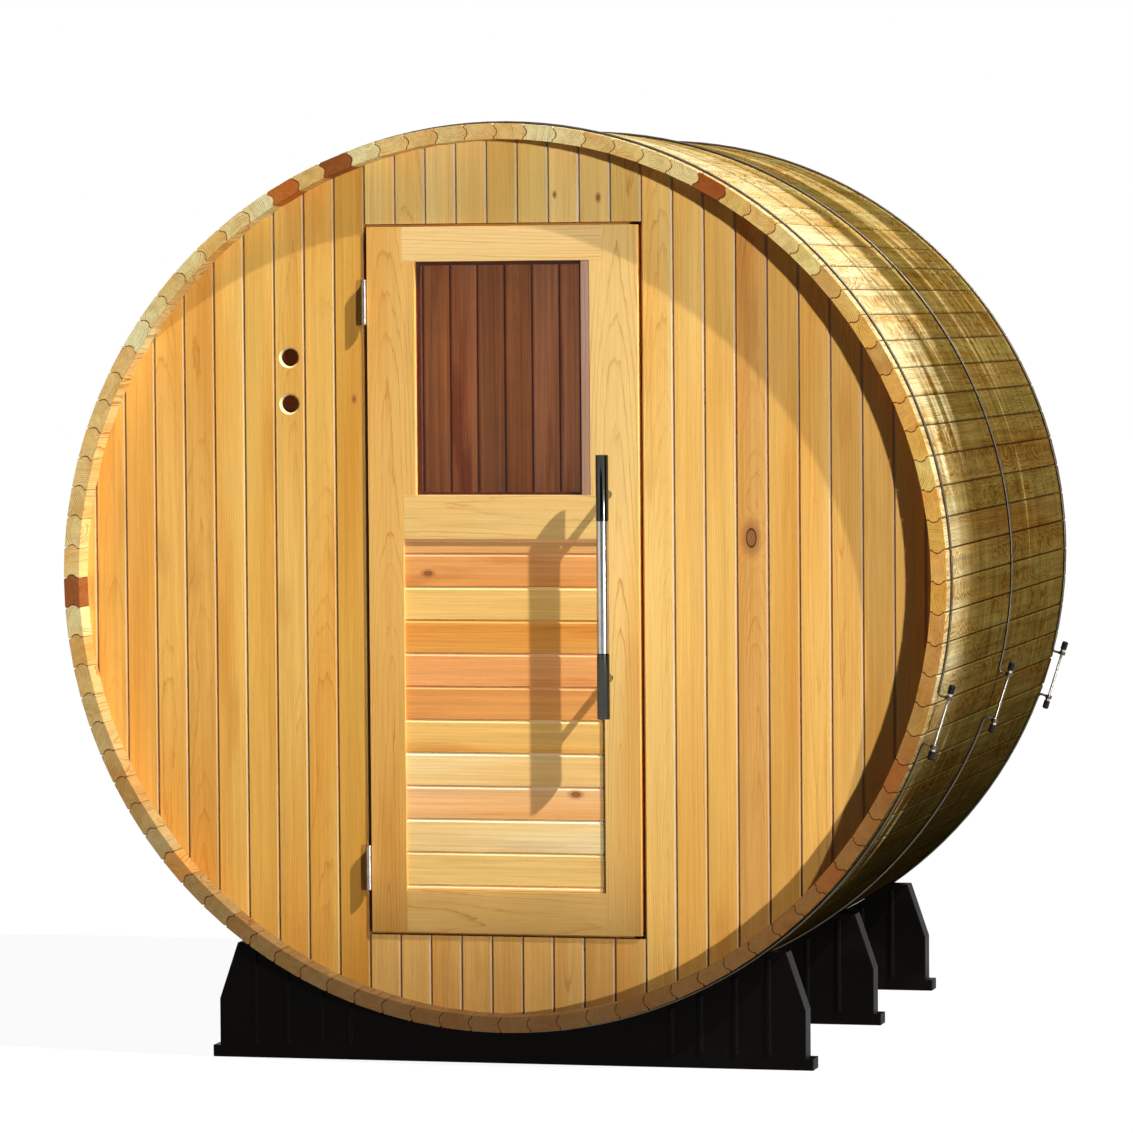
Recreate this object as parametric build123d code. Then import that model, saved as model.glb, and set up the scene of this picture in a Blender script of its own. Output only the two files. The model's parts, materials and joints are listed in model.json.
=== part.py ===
# Barrel sauna: staved round shell on three cradles, end walls set in grooves, hinged glazed door.
# Millimetres. X runs across the front, Y back from the door, Z up from the ground.
import math
import os

from build123d import *

os.makedirs("parts", exist_ok=True)

# Shell
shell_radius = 1067.0
shell_length = 1830.0
stave_count = 92
stave_thickness = 38.0
stave_gap = 0.4
bead_width = 24.0
bead_rise = 7.5
bead_clearance = 0.4
stave_ease = 1.5
stave_groups = (8, 7, 8)

# End walls in their grooves
wall_thickness = 38.0
wall_recess = 70.0
groove_depth = 13.0
groove_clearance = 0.2
front_boards_over_door = 9
vent_radius = 21.0
vent_boards_out = 2.5
vent_drops = (306.0, 416.0)

# Door and its opening
door_width = 656.0
door_rise = 189.0
door_drop = 201.0
door_thickness = 44.0
door_proud = 7.0
door_gap = 7.5
stile_width = 86.0
top_rail = 82.0
window_height = 550.0
middle_rail = 104.0
bottom_rail = 100.0
window_strip = 30.0
glass_thickness = 6.0
glass_setback = 14.0
panel_thickness = 20.0
panel_setback = 6.0
edge_tongue = 8.0
tongue_clearance = 0.3

# Door frame behind the opening
stop_clearance = 5.5
stop_width = 25.0
casing_width = 30.0
casing_depth = 28.0

# Handle
handle_radius = 15.0
handle_wall = 1.5
handle_length = 612.0
handle_rise = 823.0
handle_inset = 74.0
handle_stand = 60.0
post_radius = 9.0
post_spacing = 430.0
cap_plate = 3.0
cap_spigot = 12.0
cap_fit = 0.1

# Hinges
hinge_height = 100.0
lower_hinge_rise = 152.0
upper_hinge_drop = 177.0
leaf_thickness = 2.5
leaf_depth = 42.0
knuckle_radius = 6.5
pin_radius = 3.0
pin_clearance = 0.05
pin_stand = 8.0
knuckle_gap = 0.4
leaf_relief = 1.2

# Hoops and their tensioners
hoop_rod = 3.0
hoop_clearance = 0.2
hoop_inset = 52.0
tension_angle = 17.5
tension_half = 58.0
bend_radius = 9.0
eye_stand = 26.0
eye_radius = 8.5
eye_length = 8.0
bolt_radius = 3.5
bolt_clearance = 0.3
nut_flats = 12.0
nut_length = 7.0
cap_radius = 8.0
cap_length = 21.0
cap_cover = 4.0

# Cradles
seat_height = 83.0
seat_clearance = 0.3
cradle_depth = 60.0
cradle_inset = 85.0
cradle_from_hoop = 35.0
cradle_half = 714.0
cradle_shoulder = 140.0
cradle_top = 276.0
cradle_top_half = 668.0
flange_reach = 18.0
flange_height = 28.0
cradle_wall = 6.0
rib_offsets = (392.0, 462.0, 546.0, 625.0)
rib_width = 10.0
rib_stand = 5.0
rib_foot = 34.0
rib_margin = 14.0

# Floor
floor_step = 20.0
floor_side_gap = 2.0
board_width = 94.0
board_space = 12.0
board_thickness = 22.0
bearer_thickness = 38.0
bearer_clearance = 0.3
floor_margin = 8.0

# Positions that follow from the sizes
axis_z = seat_height + shell_radius
handle_reach = handle_stand + handle_radius + door_proud - wall_recess
front_y = (handle_reach - shell_length) / 2
back_y = front_y + shell_length
wall_y = front_y + wall_recess
rear_wall_y = back_y - wall_recess - wall_thickness
half_angle = math.pi / stave_count
flat_radius = shell_radius * math.cos(half_angle)
inner_radius = flat_radius - stave_thickness
groove_radius = inner_radius + groove_depth
door_half = door_width / 2
door_bottom = axis_z - shell_radius + stave_thickness + door_rise
door_top = axis_z + shell_radius - stave_thickness - door_drop
handle_height = door_bottom + handle_rise
door_front = wall_y - door_proud
door_back = door_front + door_thickness
open_half = door_half + door_gap
open_bottom = door_bottom - door_gap
open_top = door_top + door_gap
front_board = 2 * open_half / front_boards_over_door
vent_x = -open_half - vent_boards_out * front_board


def block(x0, x1, y0, y1, z0, z1):
    return Pos((x0 + x1) / 2, (y0 + y1) / 2, (z0 + z1) / 2) * Box(abs(x1 - x0), abs(y1 - y0), abs(z1 - z0))


def round_y(radius, y0, y1, x=0.0, z=0.0):
    return Pos(x, (y0 + y1) / 2, z) * Rot(X=90) * Cylinder(radius, y1 - y0)


def round_z(radius, z0, z1, x, y):
    return Pos(x, y, (z0 + z1) / 2) * Cylinder(radius, z1 - z0)


def profile_y(points, y0, y1):
    face = make_face(Polyline(*[(x, z) for x, z in points], close=True))
    return Pos(0, y0, 0) * extrude(Plane.XZ * face, amount=-(y1 - y0))


def save(name, pieces):
    solids = []
    for piece in pieces if isinstance(pieces, (list, tuple)) else [pieces]:
        solids += piece.solids()
    export_step(solids[0] if len(solids) == 1 else Compound(children=solids), f"parts/{name}.step")
    print(name, len(solids), round(sum(s.volume for s in solids)))


# Staves with a bead on one edge and a cove on the other, grooved at both ends for the walls
half_gap = stave_gap / 2 / math.cos(half_angle)
outer_half = shell_radius * math.sin(half_angle) - half_gap
inner_half = inner_radius * math.tan(half_angle) - half_gap
bead_radius = (bead_width ** 2 / 4 + bead_rise ** 2) / (2 * bead_rise)
bead_back = bead_radius - bead_rise
bead_at = flat_radius - stave_thickness / 2
bead_x = bead_at * math.sin(half_angle) - bead_back * math.cos(half_angle)
bead_z = bead_at * math.cos(half_angle) + bead_back * math.sin(half_angle)
cove_x = -bead_at * math.sin(half_angle) - bead_back * math.cos(half_angle)
cove_z = bead_at * math.cos(half_angle) - bead_back * math.sin(half_angle)
stave_face = make_face(Polyline((-outer_half + stave_ease, flat_radius), (outer_half - stave_ease, flat_radius),
                                (outer_half, flat_radius - stave_ease), (inner_half, inner_radius),
                                (-inner_half, inner_radius), (-outer_half, flat_radius - stave_ease), close=True))
stave_face = stave_face + Pos(bead_x, bead_z) * Circle(bead_radius)
stave_face = stave_face - Pos(cove_x, cove_z) * Circle(bead_radius + bead_clearance)
stave = Pos(0, front_y, 0) * extrude(Plane.XZ * stave_face, amount=-shell_length)
for y0 in (wall_y, rear_wall_y):
    stave -= round_y(groove_radius, y0 - groove_clearance, y0 + wall_thickness + groove_clearance)
quadrants = ("upper_right", "lower_right", "lower_left", "upper_left")
index = 0
for quadrant in quadrants:
    for number, size in enumerate(stave_groups, 1):
        group = []
        for _ in range(size):
            turn = math.degrees((2 * index + 1) * half_angle)
            group.append(Pos(0, 0, axis_z) * Rot(Y=turn) * stave)
            index += 1
        save(f"shell_{quadrant}_{number}", group)

# Front wall in four pieces round the doorway
wall_radius = groove_radius - groove_clearance
front_disc = round_y(wall_radius, wall_y, wall_y + wall_thickness, 0, axis_z)
wide = shell_radius + 10
left = front_disc & block(-wide, -open_half, wall_y, wall_y + wall_thickness, 0, 2 * axis_z)
for drop in vent_drops:
    left -= round_y(vent_radius, wall_y - 1, wall_y + wall_thickness + 1, vent_x, door_top - drop)
save("front_wall_left", left)
save("front_wall_right", front_disc & block(open_half, wide, wall_y, wall_y + wall_thickness, 0, 2 * axis_z))
save("front_wall_over_door",
     front_disc & block(-open_half, open_half, wall_y, wall_y + wall_thickness, open_top, 2 * axis_z))
save("front_wall_under_door",
     front_disc & block(-open_half, open_half, wall_y, wall_y + wall_thickness, 0, open_bottom))
save("back_wall", round_y(wall_radius, rear_wall_y, rear_wall_y + wall_thickness, 0, axis_z))

# Door frame: a stop inside the opening and a casing on the inner face of the wall
stop_y = door_back + stop_clearance
inside_y = wall_y + wall_thickness
casing_y = inside_y + casing_depth
clear_half = open_half - stop_width
for side, name in ((-1, "door_jamb_left"), (1, "door_jamb_right")):
    jamb = block(side * open_half, side * (open_half + casing_width), inside_y, casing_y,
                 open_bottom - casing_width, open_top + casing_width)
    jamb += block(side * clear_half, side * open_half, stop_y, casing_y, open_bottom, open_top)
    save(name, jamb)
save("door_head", block(-open_half, open_half, inside_y, casing_y, open_top, open_top + casing_width)
     + block(-clear_half, clear_half, stop_y, casing_y, open_top - stop_width, open_top))
save("door_sill", block(-open_half, open_half, inside_y, casing_y, open_bottom - casing_width, open_bottom)
     + block(-clear_half, clear_half, stop_y, casing_y, open_bottom, open_bottom + stop_width))

# Door leaf: two stiles, three rails, glass above, a boarded panel below
stile_in = door_half - stile_width
panel_top = door_top - top_rail - window_height - middle_rail
panel_bottom = door_bottom + bottom_rail
glass_bottom = panel_top + middle_rail
glass_top = glass_bottom + window_height
glass_half = stile_in - window_strip
glass_y = door_front + glass_setback
panel_y = door_front + panel_setback


def inset_panel(half, y0, depth, z0, z1, grow):
    return block(-half - grow, half + grow, y0, y0 + depth, z0 - grow, z1 + grow)


glass = inset_panel(glass_half, glass_y, glass_thickness, glass_bottom, glass_top, edge_tongue)
glass_seat = inset_panel(glass_half, glass_y - tongue_clearance, glass_thickness + 2 * tongue_clearance,
                         glass_bottom, glass_top, edge_tongue + tongue_clearance)
panel = inset_panel(stile_in, panel_y, panel_thickness, panel_bottom, panel_top, edge_tongue)
panel_seat = inset_panel(stile_in, panel_y - tongue_clearance, panel_thickness + 2 * tongue_clearance,
                         panel_bottom, panel_top, edge_tongue + tongue_clearance)
for side, name in ((-1, "door_stile_left"), (1, "door_stile_right")):
    save(name, block(side * stile_in, side * door_half, door_front, door_back, door_bottom, door_top) - panel_seat)
for name, z0, z1 in (("door_rail_top", glass_top, door_top), ("door_rail_middle", panel_top, glass_bottom),
                     ("door_rail_bottom", door_bottom, panel_bottom)):
    save(name, block(-stile_in, stile_in, door_front, door_back, z0, z1) - glass_seat - panel_seat)
strips = [block(side * glass_half, side * stile_in, door_front, door_back, glass_bottom, glass_top) - glass_seat
          for side in (-1, 1)]
save("door_window_strips", strips)
save("door_glass", glass)
save("door_panel", panel)

# Handle: a tube with fitted ends on two posts
handle_x = door_half - handle_inset
handle_y = door_front - handle_stand
handle_z0, handle_z1 = handle_height - handle_length / 2, handle_height + handle_length / 2
bore_radius = handle_radius - handle_wall
outer = round_z(handle_radius, handle_z0, handle_z1, handle_x, handle_y)
save("handle_bar", outer - round_z(bore_radius, handle_z0 - 1, handle_z1 + 1, handle_x, handle_y))
ends = []
for side, z in ((-1, handle_z0), (1, handle_z1)):
    end = round_z(handle_radius, *sorted((z, z + side * cap_plate)), handle_x, handle_y)
    ends.append(end + round_z(bore_radius - cap_fit, *sorted((z, z - side * cap_spigot)), handle_x, handle_y))
save("handle_ends", ends)
save("handle_posts", [round_y(post_radius, handle_y, door_front, handle_x, handle_height + side * post_spacing / 2)
                      - outer for side in (-1, 1)])

# Hinges: fixed leaves carry the pins, the door leaves turn on them
pin_x = -(door_half + open_half) / 2
pin_y = door_front - pin_stand
leaf_y = pin_y + knuckle_radius + leaf_relief
fixed, moving = [], []
for centre in (door_bottom + lower_hinge_rise, door_top - upper_hinge_drop):
    z0, z1 = centre - hinge_height / 2, centre + hinge_height / 2
    cut0, cut1 = centre - hinge_height / 6, centre + hinge_height / 6
    bore = round_z(pin_radius + pin_clearance, z0 - 1, z1 + 1, pin_x, pin_y)
    leaf = block(-door_half - leaf_thickness, -door_half, leaf_y, pin_y + leaf_depth, z0, z1)
    tab = block(-door_half - leaf_thickness, -door_half, pin_y, leaf_y, cut0 + knuckle_gap, cut1 - knuckle_gap)
    moving.append(leaf + tab + round_z(knuckle_radius, cut0 + knuckle_gap, cut1 - knuckle_gap, pin_x, pin_y) - bore)
    plate = block(-open_half, -open_half + leaf_thickness, leaf_y, pin_y + leaf_depth, z0, z1)
    for a, b in ((z0, cut0), (cut1, z1)):
        plate += block(-open_half, -open_half + leaf_thickness, pin_y, leaf_y, a, b)
        plate += round_z(knuckle_radius, a, b, pin_x, pin_y)
    fixed.append(plate + round_z(pin_radius, z0 - 1, z1 + 1, pin_x, pin_y))
save("hinge_frame_leaves", fixed)
save("hinge_door_leaves", moving)

# Hoops: each is one round rod whose ends turn outwards into drilled eyes on the right-hand side
rod_radius = shell_radius + hoop_clearance + hoop_rod
end_turn = math.asin((tension_half + bend_radius) / rod_radius)
tension_mid = math.radians(-tension_angle)


def polar(radius, angle, y):
    return Vector(radius * math.cos(angle), y, axis_z + radius * math.sin(angle))


def rod_end(angle, turn, y):
    at = polar(rod_radius, angle, y)
    out = polar(1.0, angle, 0) - Vector(0, 0, axis_z)
    along = Vector(-out.Z, 0, out.X) * turn
    corner = math.sqrt(0.5)
    middle = at + out * (bend_radius * (1 - corner)) + along * (bend_radius * corner)
    bent = at + (out + along) * bend_radius
    return at, middle, bent, bent + out * (eye_stand - bend_radius)


def along_bolt(low, high, radius, start, stop):
    axis = (high - low).normalized()
    place = Plane(origin=low + axis * start, z_dir=axis)
    return extrude(place * Circle(radius), amount=stop - start)


bolts, caps = [], []
for name, inset in (("front", hoop_inset), ("middle", shell_length / 2), ("rear", shell_length - hoop_inset)):
    y = front_y + inset
    high_at, high_bend, high_top, high = rod_end(tension_mid + end_turn, -1, y)
    low_at, low_bend, low_top, low = rod_end(tension_mid - end_turn, 1, y)
    far = polar(rod_radius, tension_mid + math.pi, y)
    over = polar(rod_radius, tension_mid + math.pi / 2, y)
    under = polar(rod_radius, tension_mid - math.pi / 2, y)
    path = Wire([Line(high, high_top).edge(), ThreePointArc(high_top, high_bend, high_at).edge(),
                 ThreePointArc(high_at, over, far).edge(), ThreePointArc(far, under, low_at).edge(),
                 ThreePointArc(low_at, low_bend, low_top).edge(), Line(low_top, low).edge()])
    rod = sweep(Plane(origin=high, z_dir=high_top - high) * Circle(hoop_rod), path=path)
    axis = (high - low).normalized()
    reach = (high - low).length
    half_eye = eye_length / 2
    rod += along_bolt(low, high, eye_radius, -half_eye, half_eye)
    rod += along_bolt(low, high, eye_radius, reach - half_eye, reach + half_eye)
    save(f"hoop_{name}", rod - along_bolt(low, high, bolt_radius + bolt_clearance, -60, reach + 60))
    nut_end = half_eye + nut_length
    tip = nut_end + cap_length - cap_cover
    bolt = along_bolt(low, high, bolt_radius, -tip, reach + tip)
    socket = along_bolt(low, high, bolt_radius + pin_clearance, -tip, reach + tip)
    for nut_at, cap_at in ((-nut_end, -nut_end - cap_length), (reach + half_eye, reach + nut_end)):
        nut_face = Plane(origin=low + axis * nut_at, x_dir=Vector(0, 1, 0), z_dir=axis)
        bolt += extrude(nut_face * RegularPolygon(nut_flats / 2, 6, major_radius=False), amount=nut_length)
        caps.append(along_bolt(low, high, cap_radius, cap_at, cap_at + cap_length) - socket)
    bolts.append(bolt)
save("tensioner_bolts", bolts)
save("tensioner_caps", caps)

# Cradles: hollow mouldings with a round seat, sloped shoulders, ribs and foot flanges
seat_radius = shell_radius + seat_clearance


def mirrored(points):
    return points + [(-x, z) for x, z in reversed(points)]


def cradle(y0):
    y1 = y0 + cradle_depth
    body = profile_y(mirrored([(cradle_half + flange_reach, 0), (cradle_half + flange_reach, flange_height),
                               (cradle_half, flange_height), (cradle_half, cradle_shoulder),
                               (cradle_top_half, cradle_top)]), y0, y1)
    for x in rib_offsets:
        seat = axis_z - math.sqrt(seat_radius ** 2 - (x - rib_width / 2) ** 2)
        top = min(seat, cradle_top) - rib_margin
        for side in (-1, 1):
            body += block(side * x - rib_width / 2, side * x + rib_width / 2, y0 - rib_stand, y1 + rib_stand,
                          rib_foot, top)
    body -= round_y(seat_radius, y0 - rib_stand - 1, y1 + rib_stand + 1, 0, axis_z)
    inner = profile_y(mirrored([(cradle_half - cradle_wall, -1), (cradle_half - cradle_wall, cradle_shoulder - 1),
                                (cradle_top_half - cradle_wall, cradle_top - cradle_wall)]),
                      y0 + cradle_wall, y1 - cradle_wall)
    inner -= round_y(seat_radius + cradle_wall, y0, y1, 0, axis_z)
    return body - inner


save("cradle_front", cradle(front_y + cradle_inset))
save("cradle_middle", cradle(front_y + shell_length / 2 + cradle_from_hoop))
save("cradle_rear", cradle(back_y - cradle_inset - cradle_depth))

# Floor: boards along the room on bearers cut to the round shell
board_y0 = casing_y + floor_margin
board_y1 = rear_wall_y - floor_margin
board_low = door_bottom - floor_step - board_thickness
floor_top = board_low + board_thickness
pitch = board_width + board_space
floor_half = math.sqrt(inner_radius ** 2 - (axis_z - board_low) ** 2) - floor_side_gap
board_count = int((2 * floor_half + board_space) / pitch)
first = -pitch * (board_count - 1) / 2
save("floor_boards", [block(first + k * pitch - board_width / 2, first + k * pitch + board_width / 2,
                            board_y0, board_y1, board_low, floor_top) for k in range(board_count)])
bearers = []
for place in (board_y0 + 60, (board_y0 + board_y1) / 2, board_y1 - 60):
    y0, y1 = place - bearer_thickness / 2, place + bearer_thickness / 2
    bearers.append(round_y(inner_radius - bearer_clearance, y0, y1, 0, axis_z)
                   & block(-wide, wide, y0, y1, 0, board_low))
save("floor_bearers", bearers)
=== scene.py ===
# Barrel sauna: boards, staves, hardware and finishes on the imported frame, in metres.
import json
import math
import random

import bmesh
import bpy
from mathutils import Matrix, Vector

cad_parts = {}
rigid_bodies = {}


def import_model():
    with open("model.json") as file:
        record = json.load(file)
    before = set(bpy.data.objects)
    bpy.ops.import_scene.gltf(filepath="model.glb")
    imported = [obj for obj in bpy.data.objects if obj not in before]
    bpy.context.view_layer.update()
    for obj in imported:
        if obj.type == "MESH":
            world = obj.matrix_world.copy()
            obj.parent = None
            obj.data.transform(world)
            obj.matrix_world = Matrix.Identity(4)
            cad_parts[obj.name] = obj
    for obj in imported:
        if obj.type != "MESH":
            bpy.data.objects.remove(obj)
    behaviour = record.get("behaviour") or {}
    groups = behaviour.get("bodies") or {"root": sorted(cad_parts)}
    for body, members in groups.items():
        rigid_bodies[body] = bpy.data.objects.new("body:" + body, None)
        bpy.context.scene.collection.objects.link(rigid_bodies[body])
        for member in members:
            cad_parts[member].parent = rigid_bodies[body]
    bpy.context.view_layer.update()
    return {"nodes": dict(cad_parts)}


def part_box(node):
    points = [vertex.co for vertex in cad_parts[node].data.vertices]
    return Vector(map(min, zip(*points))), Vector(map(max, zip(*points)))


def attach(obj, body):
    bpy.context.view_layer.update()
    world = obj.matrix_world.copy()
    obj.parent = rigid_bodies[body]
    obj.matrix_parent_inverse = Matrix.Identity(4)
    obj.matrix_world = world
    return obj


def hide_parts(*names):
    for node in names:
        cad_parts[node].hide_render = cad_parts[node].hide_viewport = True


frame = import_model()
scene = bpy.context.scene
print("frame loaded")


# a value in a shader tree: sums, differences, products and shares of values make the nodes for them
class Value:
    def __init__(self, shade, socket):
        self.shade, self.socket = shade, socket

    def __add__(self, other):
        return self.shade.calc("ADD", self, other)

    def __sub__(self, other):
        return self.shade.calc("SUBTRACT", self, other)

    def __mul__(self, other):
        return self.shade.calc("MULTIPLY", self, other)

    def __truediv__(self, other):
        return self.shade.calc("DIVIDE", self, other)


# a shader tree, with short names for the nodes used here; colours are given as three numbers
class Shade:
    def __init__(self, tree):
        self.tree = tree

    def plug(self, socket, value):
        value = value.socket if isinstance(value, Value) else value
        if isinstance(value, bpy.types.NodeSocket):
            self.tree.links.new(value, socket)
        elif value is not None:
            socket.default_value = (*value, 1) if socket.type == "RGBA" else value

    def node(self, kind, *values, **settings):
        made = self.tree.nodes.new("ShaderNode" + kind)
        for label, setting in settings.items():
            setattr(made, label, setting)
        for socket, value in zip(made.inputs, values):
            self.plug(socket, value)
        return made

    def fill(self, node, **values):
        for label, value in values.items():
            self.plug(node.inputs[label.replace("_", " ")], value)
        return node

    def outs(self, node):
        return {socket.name: Value(self, socket) for socket in node.outputs}

    def calc(self, operation, *values):
        return Value(self, self.node("Math", *values, operation=operation).outputs[0])

    def distance(self, a, b):
        return self.calc("SQRT", a * a + b * b)

    def ramp(self, value, low, high, outLow=0.0, outHigh=1.0):  # smooth step from low to high
        made = self.node("MapRange", value, low, high, outLow, outHigh, interpolation_type="SMOOTHSTEP")
        return Value(self, made.outputs[0])

    def vector(self, x, y, z):
        return self.node("CombineXYZ", x, y, z).outputs[0]

    def split(self, value):
        return [Value(self, socket) for socket in self.node("SeparateXYZ", value).outputs]

    def noise(self, place, scale=1.0, detail=2.0, rough=0.5):
        made = self.fill(self.node("TexNoise", place), Scale=scale, Detail=detail, Roughness=rough)
        return Value(self, made.outputs[0])

    def chance(self, value):
        return self.outs(self.fill(self.node("TexWhiteNoise", noise_dimensions="1D"), W=value))["Value"]

    def blend(self, share, first, second, mode="MIX"):
        made = self.node("Mix", share, data_type="RGBA", blend_type=mode)
        self.plug(made.inputs[6], first)
        self.plug(made.inputs[7], second)
        return made.outputs[2]

    def tint(self, colour, by):
        return self.blend(1.0, colour, by, "MULTIPLY")

    def scale(self, colour, amount):
        return self.fill(self.node("VectorMath", colour, operation="SCALE"), Scale=amount).outputs[0]

    def use(self, group, **values):
        return self.outs(self.fill(self.node("Group", node_tree=group), **values))

    def attribute(self, name):
        return self.outs(self.node("Attribute", attribute_name=name))

    def position(self):
        return self.node("TexCoord").outputs["Object"]

    def bump(self, shader, height, distance, strength):
        made = self.fill(self.node("Bump"), Distance=distance, Strength=strength, Height=height)
        self.plug(shader.inputs["Normal"], made.outputs[0])

    def surface(self, shader):
        self.plug(self.tree.nodes["Material Output"].inputs["Surface"], shader.outputs[0])


def makeGroup(name, inputs, build):  # inputs lists the sockets of each kind, build returns the outputs
    group = bpy.data.node_groups.new(name, "ShaderNodeTree")
    for kind, labels in inputs.items():
        for label in labels:
            group.interface.new_socket(name=label, in_out="INPUT", socket_type="NodeSocket" + kind)
    n = Shade(group)
    made = build(n, n.outs(group.nodes.new("NodeGroupInput")))
    for label in made:
        kind = "Color" if label == "Colour" else "Float"
        group.interface.new_socket(name=label, in_out="OUTPUT", socket_type="NodeSocket" + kind)
    n.fill(group.nodes.new("NodeGroupOutput"), **made)
    return group


# cedar: growth rings round a pith line beside each board, fibres, streaks and one knot
grainNoises = {  # stretch along the board, fineness across it, detail and shift
    "swayAcross": (0.9, 0.0, 1, 3.1), "swayDeep": (1.5, 0.0, 1, 9.7), "ripple": (4.5, 42.0, 3, 1.3),
    "jag": (17.0, 120.0, 2, 4.4), "wave": (11.0, 9.0, 1, 8.8), "worn": (2.2, 24.0, 2, 6.0),
    "streak": (1.3, 65.0, 3, 5.0), "line": (2.6, 230.0, 3, 8.0), "fibre": (10.0, 620.0, 2, 2.0),
    "pores": (70.0, 1500.0, 1, 3.0), "broad": (0.8, 9.0, 2, 7.0), "smudge": (2.4, 19.0, 4, 12.0)}
grainSwings = {"swayAcross": 0.045, "swayDeep": 0.05, "ripple": 0.0060, "jag": 0.0034}
grainTints = {"warm": (0.93, 0.76, 0.52), "dark": (0.63, 0.43, 0.22), "halo": (0.36, 0.13, 0.035),
              "heartPale": (0.40, 0.17, 0.05), "heartDark": (0.15, 0.045, 0.012), "rind": (0.06, 0.018, 0.006)}
knotForm = {"squash": 0.55, "reach": 1.9, "push": 1.6, "rings": 3.2, "halo": 2.4, "haloShade": 0.7, "least": 0.0005}


def cedarGrain(n, given):
    u, v, w = n.split(given["Place"])
    pithV, pithW, slope = n.split(given["Pith"])
    knotU, knotV, knotR = n.split(given["Knot"])
    board, streaks = given["Board Colour"], given["Streak Strength"]
    along = u + given["Seed"] * 37.0

    def grain(name):
        stretch, fine, detail, shift = grainNoises[name]
        return n.noise(n.vector(along * stretch + shift, v * fine, w * fine), 1, detail)

    def swing(name):
        return (grain(name) - 0.5) * grainSwings[name]

    across = v - pithV - swing("swayAcross")
    deep = w - (u * slope + pithW) - swing("swayDeep")
    away = n.distance((u - knotU) * knotForm["squash"], v - knotV)
    near = away / (knotR * knotForm["reach"])
    radius = n.distance(across, deep) + n.calc("EXPONENT", near * near * -1.0) * knotR * knotForm["push"]
    uneven = swing("ripple") + swing("jag") + (grain("wave") - 0.5) * given["Waviness"]
    phase = (radius + uneven) / given["Ring Spacing"]
    part = n.calc("FRACT", phase)
    late = n.calc("POWER", part, given["Line Sharpness"]) * n.ramp(part, 0.90, 1.0, 1.0, 0.0)
    year = n.chance(n.calc("FLOOR", phase)) * 0.8 + 0.2
    rings = late * year * n.ramp(grain("worn"), 0.34, 0.62, 0.25, 1.0) * 1.7
    fibre, pores = grain("fibre"), n.ramp(grain("pores"), 0.62, 0.74)
    colour = n.blend(n.ramp(grain("broad"), 0.42, 0.68, 0.0, 0.75), board, n.tint(board, grainTints["warm"]))
    dark = n.tint(colour, grainTints["dark"])
    colour = n.blend(n.ramp(grain("smudge"), 0.57, 0.74) * streaks, colour, dark)
    colour = n.blend(rings * given["Ring Strength"], colour, dark)
    for change in ((grain("streak") - 0.5) * streaks + 1.0, (grain("line") - 0.5) * (streaks * 1.1) + 1.0,
                   fibre * 0.30 + 0.85):
        colour = n.scale(colour, change)
    colour = n.blend(pores * 0.35, colour, dark)
    share, inside = away / knotR, knotR - away
    halo = n.ramp(share, 1.0, knotForm["halo"], knotForm["haloShade"], 0.0)
    colour = n.blend(halo * n.calc("GREATER_THAN", knotR, knotForm["least"]), colour, grainTints["halo"])
    knotRings = n.calc("FRACT", share * knotForm["rings"] + fibre * 0.6)
    core = n.ramp(inside * 900.0, 0.0, 1.0)
    heart = n.blend(knotRings, grainTints["heartPale"], grainTints["heartDark"])
    colour = n.blend(core * 0.85, colour, heart)
    colour = n.blend(core * n.ramp(inside / knotR, 0.12, 0.38, 0.9, 0.0), colour, grainTints["rind"])
    return {"Colour": colour, "Rings": rings, "Height": fibre - (rings + pores) * 0.5 - core * 0.5}


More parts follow.
